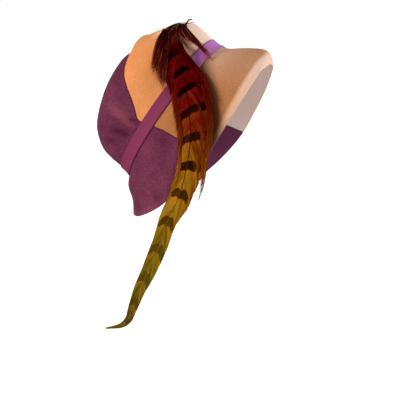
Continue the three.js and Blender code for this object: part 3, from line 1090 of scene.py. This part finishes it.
# One side of a feather
def barbs(row, side):
    reach = row["length"] * route.length
    count = int(reach / tail["pitch"])
    start = np.linspace(2, reach - 1.5, count) + dice.uniform(-0.1, 0.1, count)
    share = start / reach
    # barbs cling together in small clumps whose ends part
    clump = np.cumsum(dice.random(count) < tail["clumpEnds"])
    clumps = clump[-1] + 1
    centre = np.array([start[clump == k].mean() for k in range(clumps)])[clump]
    loose = smoothstep(start, *tail["loosens"]) * (1 - smoothstep(start, *tail["tightens"]))
    pull = (0.03 + 0.3 * loose) * dice.uniform(0.5, 1.1, clumps)[clump]
    ragged = dice.uniform(-0.1, 0.14, clumps)[clump] + dice.normal(0, 0.07, count)
    clean = 1 - 0.85 * smoothstep(start, *tail["smooths"])
    long = (1.02 + (0.35 * clean + 0.65 * loose) * ragged)[:, None]
    lift = (dice.normal(0, 0.12, count) * (0.15 + loose))[:, None]
    tone = np.clip(dice.normal(0.5, 0.16, count) + dice.normal(0, 0.2, clumps)[clump], 0, 1)
    # each barb leaves the shaft at a slant and curves on towards the tip
    t = np.linspace(0, 1, tail["steps"])[None, :]
    slope = tail["lean"] + tail["tipLean"] * smoothstep(start, *tail["leans"])[:, None]
    lean = slope * halfWidth(row, share, side)[:, None] * (0.5 * t + 0.8 * t**2) * long
    along = start[:, None] + lean + (centre - start)[:, None] * pull[:, None] * t**2
    along = np.minimum(along, reach - 0.3 + 0.4 * t)
    wide = halfWidth(row, along / reach, side) * t * long
    sideways = middleOf(row, along) + side * wide
    droop = tail["droop"] * (sideways / tail["droopAt"]) ** 2
    height = tail["rise"] - row["under"] - droop + lift * t**2
    # a barb is a thin strip, tilted so that it overlaps the next one
    thin = smoothstep(t, 0.6, 1) * (0.1 + loose)[:, None]
    onward = np.gradient(along, axis=1)
    outward = np.gradient(sideways, axis=1)
    half = side * (tail["barb"] * (1 - 0.75 * thin)) / np.hypot(onward, outward)
    near = route.spot(along + half * outward, sideways - half * onward, height + tail["tilt"])
    far = route.spot(along - half * outward, sideways + half * onward, height - tail["tilt"])
    points = np.stack([near, far], 2)
    index = np.arange(points[..., 0].size).reshape(points.shape[:3])
    faces = quadsOf(index[:, :-1, 0], index[:, 1:, 0], index[:, 1:, 1], index[:, :-1, 1])
    bars = np.array(tail["bars"]) * route.length
    barCounts = np.arange(1, len(bars) + 1)
    readings = {
        "along": acrossAll(along / route.length, along, 2),
        "across": acrossAll(side * t * long, along, 2),
        "bar": acrossAll(np.interp(along, bars, barCounts, 0.0, tail["pastBars"]), along, 2),
        "fray": acrossAll(loose[:, None] * smoothstep(t, 0.66, 1.05), along, 2),
        "tone": acrossAll(tone[:, None], along, 2),
    }
    return points.reshape(-1, 3), faces, readings


# Long loose barbs at both edges of the plume. The pairs are the least and the most.
looseLook = {
    "many": 560,
    "steps": 9,
    "half": 0.27,
    "frontShare": 0.66,
    "start": (14, 178),
    "long": (16, 50),
    "inset": (0.72, 0.98),
    "outset": (0.0, 0.2),
    "follow": (0.35, 1),
    "edgeAt": [0, 25, 60, 110, 150, 190, 230],
    "frontEdge": [4, 9, 17.5, 21.5, 21, 19.5, 17],
    "hindEdge": [4, 9, 20, 23, 20, 15, 12],
}


# They hang straighter than the plume bends
def looseStrands():
    look = looseLook
    count = look["many"]
    side = np.where(dice.random(count) < look["frontShare"], 1.0, -1.0)[:, None]
    start = dice.uniform(*look["start"], count)[:, None]
    long = dice.uniform(*look["long"], count)[:, None]
    inset = dice.uniform(*look["inset"], count)[:, None]
    outset = inset + dice.uniform(*look["outset"], count)[:, None]
    follow = dice.uniform(*look["follow"], count)[:, None, None]
    t = np.linspace(0, 1, look["steps"])[None, :]
    along = start + long * t
    front = np.interp(along, look["edgeAt"], look["frontEdge"])
    hind = np.interp(along, look["edgeAt"], look["hindEdge"])
    edge = np.where(side > 0, front, hind)
    sideways = side * edge * (inset + (outset - inset) * t**1.5)
    droop = tail["droop"] * (sideways / tail["droopAt"]) ** 2
    height = 0.9 - droop + dice.normal(0.2, 0.5, count)[:, None] * t
    bending = route.spot(along, sideways, height)
    heading = unit(bending[:, 1] - bending[:, 0])
    straight = bending[:, :1] + heading[:, None] * (long * t)[..., None]
    paths = straight + (bending - straight) * follow
    outs = route.spot(along, sideways, height + 1) - bending
    halves = look["half"] * (1.05 - t**2) * dice.uniform(0.7, 1.3, count)[:, None]
    points, faces = tubes(paths, halves, outs)
    readings = {
        "along": acrossAll(along / route.length, along, 3),
        "across": acrossAll(side * 0.95, along, 3),
        "bar": acrossAll(0.0, along, 3),
        "fray": acrossAll(0.25 + 0.75 * t, along, 3),
        "tone": acrossAll(dice.uniform(0.05, 1, count)[:, None], along, 3),
    }
    return points, faces, readings


# Colours of the vane from the head of the plume to its tip
vaneLook = {
    "ground": stops(
        (0.0, 60, 0, 1),
        (0.1, 90, 1, 2),
        (0.2, 104, 5, 6),
        (0.27, 108, 13, 8),
        (0.31, 116, 32, 7),
        (0.345, 122, 46, 6),
        (0.375, 130, 76, 7),
        (0.41, 150, 100, 10),
        (0.46, 148, 102, 14),
        (0.54, 146, 106, 16),
        (0.62, 124, 98, 10),
        (0.72, 110, 94, 12),
        (0.85, 102, 88, 10),
        (1.0, 58, 52, 14),
    ),
    "bars": stops((0.2, 26, 1, 1), (0.45, 48, 20, 3), (0.7, 66, 42, 6), (1.0, 52, 40, 8)),
    "pastBar": stops((0.2, 126, 14, 8), (0.4, 176, 124, 20)),
    "rust": stops((0.1, 82, 4, 3), (0.25, 104, 20, 8), (0.34, 122, 44, 12), (0.5, 134, 74, 14)),
    "pale": stops((0.1, 140, 24, 20), (0.3, 170, 84, 50), (0.5, 196, 160, 50)),
    "dark": paint(10, 3, 3),
}


def vaneFinish():
    vane = Finish("barred_vane")
    along = vane.reading("along")
    across = vane.reading("across")
    bar = vane.reading("bar")
    tone = vane.reading("tone")
    wide = vane.maths("ABSOLUTE", across)
    wander = vane.noise(vane.place(), 160, 2.0) - 0.5
    # the hind side turns gold before the rest
    ground = vane.ramp(along + wander * 0.05 - across * 0.03, vaneLook["ground"])
    # bars lie at whole numbers, rounded at their ends and bowed up beside the shaft
    upper = 1 - vane.step(along, 0.36, 0.5)
    arch = vane.maths("COSINE", wide * 2.6) * 0.05
    lobes = vane.maths("SINE", wide * 4.4) * 0.07
    slant = (0.18 + 0.2 * (1 - vane.step(along, 0.02, 0.26))) * across
    bow = arch + lobes * (1 - upper * 0.5) + slant * upper
    part = vane.maths("FRACT", bar + bow + wander * 0.14 + (tone - 0.5) * 0.03 + 0.46)
    off = vane.maths("ABSOLUTE", part - 0.5)
    reach = 0.86 + 0.4 * vane.step(along, 0.5, 0.7) + wander * 0.3
    share = vane.maths("MINIMUM", vane.maths("DIVIDE", wide, reach), 1.0)
    square = share * share
    thick = vane.maths("SQRT", 1 - square * square * square) * 0.175
    inBar = 1 - vane.step(off - thick, -0.035, 0.01)
    inside = vane.step(reach - wide, 0.0, 0.08)
    started = vane.step(bar, 0.6, 0.8)
    # towards the tip the bars fade, some barbs more than others
    faded = 1 - 0.45 * vane.step(along, 0.42, 0.75)
    faded = faded + (tone - 0.5) * 0.5 * vane.step(along, 0.4, 0.6)
    mask = inBar * inside * started * faded
    # the vane is brighter just past each bar
    past = vane.step(part, 0.6, 0.7) * (1 - vane.step(part, 0.72, 1.0)) * 0.3
    ground = vane.mix(past * inside, ground, vane.ramp(along, vaneLook["pastBar"]))
    colour = vane.mix(mask, ground, vane.ramp(along, vaneLook["bars"]))
    # frayed ends, and the edges where red turns to gold, are rust
    skirt = vane.step(wide, 0.68, 0.92) * vane.step(along, 0.28, 0.36)
    skirt = skirt * (1 - vane.step(along, 0.52, 0.6))
    rusty = vane.reading("fray") * 0.85 + skirt * 0.55
    colour = vane.mix(rusty, colour, vane.ramp(along, vaneLook["rust"]))
    # single barbs catch the light and others lie dark
    lit = vane.step(tone, 0.6, 1.0) * (0.2 + 0.35 * vane.step(along, 0.25, 0.45))
    colour = vane.mix(lit * (1 - 0.75 * mask), colour, vane.ramp(along, vaneLook["pale"]))
    dark = vane.mix(0.5, colour, vaneLook["dark"])
    vane.set(Base_Color=vane.mix(vane.step(tone, 0.5, 0.05), colour, dark))
    vane.set(Roughness=0.62 + 0.2 * (tone - 0.5), Specular_IOR_Level=0.0)
    return vane


shaftLook = {
    "along": stops(
        (0.0, 30, 1, 1),
        (0.3, 40, 4, 2),
        (0.42, 64, 30, 6),
        (0.6, 104, 80, 24),
        (1.0, 112, 100, 40),
    ),
    "pale": paint(176, 160, 96),
}


def shaftFinish():
    shaft = Finish("feather_shaft")
    along = shaft.reading("along")
    streak = shaft.noise(shaft.place(), 500, 2.0)
    pale = shaft.step(along, 0.45, 0.7) * streak * 0.5
    colour = shaft.mix(pale, shaft.ramp(along, shaftLook["along"]), shaftLook["pale"])
    shaft.set(Base_Color=colour, Roughness=0.7, Specular_IOR_Level=0.05)
    return shaft


def tailPiece():
    vanes = [barbs(row, side) for row in tail["feathers"] for side in (-1, 1)]
    vanes.append(looseStrands())
    points, faces = merged([vane[:2] for vane in vanes])
    readings = {name: np.concatenate([vane[2][name] for vane in vanes]) for name in vanes[0][2]}
    finish = vaneFinish()
    addPiece("tail_vanes", points, faces, finish, ["tail_plume"], readings)
    shafts = []
    alongs = []
    sides = 8
    for row in tail["feathers"]:
        reach = row["length"] * route.length
        at = np.linspace(0, reach, tail["shaftSteps"])
        fan = middleOf(row, at)
        droop = tail["droop"] * (fan / tail["droopAt"]) ** 2
        height = tail["shaftRise"] - row["under"] - droop
        path = route.spot(at, fan, height)[None]
        outs = route.spot(at, fan, height + 1)[None] - path
        radius = (tail["shaft"] * (1 - at / reach) ** 0.8 + tail["shaftTip"])[None]
        shafts.append(tubes(path, radius, outs, sides, 0.75))
        alongs.append(np.repeat(at / route.length, sides))
    points, faces = merged(shafts)
    readings = {"along": np.concatenate(alongs)}
    finish = shaftFinish()
    addPiece("tail_shafts", points, faces, finish, ["tail_plume"], readings)


tailPiece()
print("tail feathers made")


# Knots and cut quills
knots = {
    "turns": 9,
    "turnSteps": 40,
    "long": 4.4,
    "wide": 3.6,
    "deep": 1.7,
    "thread": 0.42,
    "wound": 0.92,  # share of the knot's length that the thread covers
    "core": 0.9,
    "coreLong": 0.97,
    "coreRings": 14,
    "coreAround": 20,
    "tail": {"share": 0.385, "angle": -21, "stand": 2.2},
    "tuft": {"share": 0.39, "angle": -30.5, "stand": 5.4},
    "quillSteps": 12,
    "quills": table(
        "x y z bend half",
        (11, -2.5, 7.5, 2.2, 0.85),
        (6, 2, 9, -1.6, 0.7),
        (13, 1, 4, 1.5, 0.35),
    ),
    "colours": stops((0.3, 16, 8, 8), (0.7, 52, 26, 20)),
}


def darkFinish():
    dark = Finish("dark_quill")
    speck = dark.noise(dark.place(), 1200, 3.0)
    dark.set(Base_Color=dark.ramp(speck, knots["colours"]), Roughness=0.4 + 0.3 * speck)
    dark.set(Normal=dark.bump(speck, 0.0002, 0.6))
    return dark


# Thread wound round a rounded core
def knotPiece(name, place, run, finish, nodes):
    centre, out = placeOver(crownPoint, place["share"], place["angle"], place["stand"])
    centre, out = centre[0], out[0]
    run = unit(run - out * (run @ out))
    cross = np.cross(out, run)

    # Places round the knot: way from one end, -1, to the other, 1, and turn about it
    def around(way, turn, size):
        bulge = np.sqrt(1 - way**2)
        return (
            centre
            + run * (way * knots["long"])[..., None]
            + cross * (np.cos(turn) * bulge * knots["wide"] * size)[..., None]
            + out * (np.sin(turn) * bulge * knots["deep"] * size)[..., None]
        )

    steps = knots["turnSteps"] * knots["turns"]
    turn = np.linspace(0, 2 * math.pi * knots["turns"], steps)
    path = around(np.linspace(-knots["wound"], knots["wound"], steps), turn, 1)
    thread = tubes(path[None], np.full((1, steps), knots["thread"]), (path - centre)[None], 6)
    ways = np.linspace(-knots["coreLong"], knots["coreLong"], knots["coreRings"])
    turns = 2 * math.pi * np.arange(knots["coreAround"]) / knots["coreAround"]
    core = around(ways[:, None], turns, knots["core"])
    index = np.arange(core[..., 0].size).reshape(core.shape[:2])
    after = np.roll(index, -1, axis=1)
    coreFaces = quadsOf(index[:-1], after[:-1], after[1:], index[1:])
    points, faces = merged([thread, (core.reshape(-1, 3), coreFaces)])
    addPiece(name, points, faces, finish, nodes, {})
    return centre, out


threadFinish = darkFinish()
tailHead, tailOut = knotPiece(
    "tail_knot", knots["tail"], route.tangent[0], threadFinish, ["tail_plume"]
)


def quillPiece():
    steps = knots["quillSteps"]
    f = np.linspace(0, 1, steps)[:, None]
    quills = []
    for row in knots["quills"]:
        run = np.array([row["x"], row["y"], row["z"]], float)
        path = tailHead + run * f + np.array([0, 0, 1.0]) * row["bend"] * (f * (1 - f)) * 4
        half = row["half"] * (1 - 0.25 * f[:, 0])
        half[-1] = row["half"] * 0.2
        quills.append(tubes(path[None], half[None], np.tile(tailOut, (1, steps, 1)), 7))
    points, faces = merged(quills)
    addPiece("cut_quills", points, faces, threadFinish, ["tail_plume"], {})


quillPiece()
print("knots and quills made")


# Tuft: fine strands over the head of the plume. Each row leads a lock through three places
# over the crown: share, angle and stand. Locks of one fan run into each other.
tuft = {
    "steps": 10,
    "half": 0.25,
    "spread": 1.4,  # sideways, of the strands in the fans
    "locksPerRow": 2.6,
    "gather": 0.75,
    "colours": stops((0.0, 36, 2, 3), (0.35, 64, 3, 3), (0.7, 100, 15, 7), (1.0, 132, 46, 16)),
    "dark": paint(18, 2, 4),
    # pale strands are painted highlights
    "pale": paint(196, 132, 118),
    "fan": table(
        "from by to many",
        ((0.403, -24, 6), (0.531, -34, 9), (0.343, -65.6, 6), 90),
        ((0.403, -24.5, 6), (0.457, -46.5, 9), (0.288, -68.5, 6), 120),
        ((0.40, -25, 6), (0.411, -51.7, 10), (0.212, -70.5, 7), 120),
        ((0.40, -25.5, 6), (0.358, -56.6, 11), (0.124, -72.2, 9), 40),
        ((0.395, -26, 6.5), (0.41, -42, 11), (0.36, -48, 9.5), 150),
        ((0.395, -26, 7), (0.38, -38, 11), (0.32, -44, 10), 160),
        ((0.40, -25, 7), (0.37, -32, 10), (0.31, -37, 10), 120),
    ),
    "fringe": table(
        "from by to many",
        ((0.445, -37, 8), (0.41, -53, 9), (0.343, -65.6, 6), 210),
        ((0.43, -38.5, 8.5), (0.37, -55, 9.5), (0.288, -68.5, 6), 240),
        ((0.41, -40, 9), (0.33, -56, 10), (0.212, -70.5, 6.5), 230),
        ((0.395, -41.5, 9), (0.29, -57, 10), (0.135, -72.2, 8), 150),
        ((0.385, -41, 9), (0.31, -54, 10), (0.20, -66, 9), 60),
    ),
    "locks": table(
        "from by to many half",
        ((0.387, -23, 5), (0.243, -30.2, 9), (0.0, -31.6, 5), 84, 2.4),
        ((0.385, -24.7, 6), (0.248, -32, 9), (0.02, -29.5, 5), 50, 2.8),
        ((0.38, -28, 7), (0.275, -33.2, 8.5), (0.12, -29.5, 6), 36, 1.2),
        ((0.40, -26, 7), (0.33, -29, 9), (0.25, -32, 8), 90, 1.8),
        ((0.395, -27, 8), (0.33, -33, 9.5), (0.245, -33.4, 8.5), 80, 1.7),
        ((0.395, -28, 8), (0.345, -35, 9.5), (0.262, -35.2, 8.5), 26, 1.1),
        ((0.346, -35.3, 7), (0.27, -37.9, 7.5), (0.198, -38.9, 6), 9, 1.6),
    ),
    # a few pale strands as painted highlights
    "paintedHighlightHairs": table(
        "from by to many half",
        ((0.36, -35.5, 8), (0.30, -37, 10), (0.235, -39.5, 9), 6, 3.2),
    ),
}


def strandFinish():
    strand = Finish("hackle_strand")
    tone = strand.reading("tone")
    colour = strand.ramp(strand.reading("along") + (tone - 0.5) * 0.3, tuft["colours"])
    colour = strand.mix(strand.step(tone, 0.5, 0.05) * 0.8, colour, tuft["dark"])
    # the palest strands are painted highlights
    colour = strand.mix(strand.step(tone, 0.93, 0.97) * 0.7, colour, tuft["pale"])
    strand.set(Base_Color=colour, Roughness=0.6 + 0.2 * (tone - 0.5), Specular_IOR_Level=0.03)
    return strand


# Strands through three places over the crown, spread sideways and cut to their own lengths
def strands(start, by, to, long, spread):
    root, rootOut = placeOver(crownPoint, *np.transpose(start))
    middle, middleOut = placeOver(crownPoint, *np.transpose(by))
    tip, tipOut = placeOver(crownPoint, *np.transpose(to))
    count = len(root)
    out = unit(rootOut + middleOut + tipOut)
    cross = unit(np.cross(out, tip - root))
    # a strand keeps to its own side of the lock, more or less, from root to tip
    side = dice.normal(0, 1, (count, 3))
    root = root + cross * (side[:, :1] * 0.9) + rootOut * dice.uniform(-1.2, 1.2, count)[:, None]
    middle = middle + cross * (side[:, :1] * 0.5 + side[:, 1:2] * 0.4) * spread
    middle = middle + out * dice.normal(0, 1.1, count)[:, None]
    tip = tip + cross * (side[:, :1] * 0.6 + side[:, 2:] * 0.5) * spread
    f = np.linspace(0, 1, tuft["steps"])[None, :] * long[:, None]
    g = f[..., None]
    paths = root[:, None] * (1 - g) ** 2 + 2 * middle[:, None] * g * (1 - g) + tip[:, None] * g**2
    wave = dice.uniform(0, 6.28, count)[:, None] + 5 * f
    paths = paths + cross[:, None] * (0.45 * np.sin(wave) * f)[..., None]
    return paths, np.repeat(out[:, None], tuft["steps"], 1), f


# Strands between the rows of a fan, with tips that gather into pointed locks
def fanned(fan):
    many = np.array([row["many"] for row in fan])
    rows = np.arange(len(fan))
    where = np.repeat(rows, many) + dice.uniform(-0.5, 0.5, many.sum())
    where = np.clip(where, 0, len(fan) - 1)
    locks = tuft["locksPerRow"]
    gathered = np.round(where * locks + 0.3 * np.sin(where * 7)) / locks
    tips = where + (gathered - where) * tuft["gather"]
    places = []
    for name, at in (("from", where), ("by", where), ("to", tips)):
        known = np.array([row[name] for row in fan])
        places.append(np.stack([np.interp(at, rows, known[:, k]) for k in range(3)], -1))
    long = (1.12 - 1.1 * np.abs(where - gathered)) * dice.beta(6, 1.2, len(where))
    return strands(*places, long, tuft["spread"])


def tuftPiece():
    made = [fanned(tuft["fan"]), fanned(tuft["fringe"])]
    for row in tuft["locks"] + tuft["paintedHighlightHairs"]:
        each = [np.tile(row[name], (row["many"], 1)) for name in ("from", "by", "to")]
        made.append(strands(*each, dice.uniform(0.7, 1.25, row["many"]), row["half"]))
    paths, outs, along = (np.concatenate(part) for part in zip(*made))
    taper = np.linspace(0, 1, tuft["steps"])[None, :]
    halves = tuft["half"] * (1.08 - taper**2) * dice.uniform(0.7, 1.3, len(paths))[:, None]
    tone = dice.uniform(0, 1, len(paths))
    # the pale strands, painted highlights
    pale = sum(row["many"] for row in tuft["paintedHighlightHairs"])
    tone[-pale:] = 1.0
    halves[-pale:] *= 0.6
    points, faces = tubes(paths, halves, outs)
    readings = {"along": acrossAll(along, along, 3), "tone": acrossAll(tone[:, None], along, 3)}
    finish = strandFinish()
    addPiece("tuft_strands", points, faces, finish, ["hackle_tuft"], readings)
    run = paths[:, 3].mean(0) - paths[:, 0].mean(0)
    knotPiece("tuft_knot", knots["tuft"], run, threadFinish, ["hackle_tuft"])


tuftPiece()
print("tuft made")


# Floor, lights and pale surroundings
studio = {
    "floorDrop": 0.03,
    "floorReach": 14,
    "surround": 0.3,
    "glow": 0.6,
    "lights": table(
        "from soft power colour",
        ((-0.66, -0.76, 0.1), 15, 3.0, (1.0, 0.85, 0.7)),
        ((1.0, 0.05, 0.1), 30, 2.9, (0.94, 0.96, 1.0)),
        ((0.1, 0.9, 0.7), 40, 0.8, (1.0, 1.0, 1.0)),
    ),
    # a small card under the front of the brim, which throws light back on its inside
    "card": {
        "from": (0.2, -0.03, -0.09),
        "to": (0.157, 0.08, -0.034),
        "size": 0.06,
        "power": 0.034,
        "colour": (1.0, 0.88, 0.83),
    },
}


# White to the camera, dim to the light that the hat gets back from it
def paperFinish():
    paper = Finish("pale_paper")
    paper.set(Base_Color=paint(190, 190, 192), Roughness=0.9)
    seen = paper.node("ShaderNodeBsdfDiffuse", values={"Color": paint(250, 250, 250)})
    white = {"Color": paint(255, 255, 255), "Strength": studio["glow"]}
    glow = paper.node("ShaderNodeEmission", values=white)
    both = paper.node("ShaderNodeAddShader", values={0: seen, 1: glow})
    sight = paper.node("ShaderNodeLightPath", output="Is Camera Ray")
    dim = Tap(paper, paper.shader.outputs[0])
    shown = paper.node("ShaderNodeMixShader", values={0: sight, 1: dim, 2: both})
    paper.feed(paper.tree.nodes["Material Output"].inputs[0], shown)
    return paper


def addLamp(name, kind, row, way):
    lamp = bpy.data.lights.new(name, kind)
    lamp.energy = row["power"]
    lamp.color = row["colour"]
    return aimed(name, lamp, row["from"], way)


def addStudio():
    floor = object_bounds()[0][2] - studio["floorDrop"]
    reach = studio["floorReach"]
    mesh = bpy.data.meshes.new("floor")
    corners = [(x * reach, y * reach, floor) for x, y in ((-1, -1), (1, -1), (1, 1), (-1, 1))]
    mesh.from_pydata(corners, [], [(0, 1, 2, 3)])
    mesh.materials.append(paperFinish().material)
    made = linked("floor", mesh)
    for k, row in enumerate(studio["lights"]):
        sun = addLamp("light_%d" % k, "SUN", row, -Vector(row["from"]))
        sun.data.angle = math.radians(row["soft"])
    row = studio["card"]
    card = addLamp("card", "AREA", row, Vector(row["to"]) - Vector(row["from"]))
    card.data.size = row["size"]
    card.visible_camera = False
    world = bpy.data.worlds.new("surround")
    world.use_nodes = True
    tree = world.node_tree
    sight = tree.nodes.new("ShaderNodeLightPath")
    strength = tree.nodes.new("ShaderNodeMapRange")
    strength.inputs["To Min"].default_value = studio["surround"]
    strength.inputs["To Max"].default_value = 1.0
    tree.links.new(sight.outputs["Is Camera Ray"], strength.inputs["Value"])
    tree.nodes["Background"].inputs[0].default_value = (1, 1, 1, 1)
    tree.links.new(strength.outputs[0], tree.nodes["Background"].inputs[1])
    bpy.context.scene.world = world
    bpy.context.scene.view_settings.view_transform = "Standard"


addStudio()
print("studio made")

print("scene made")
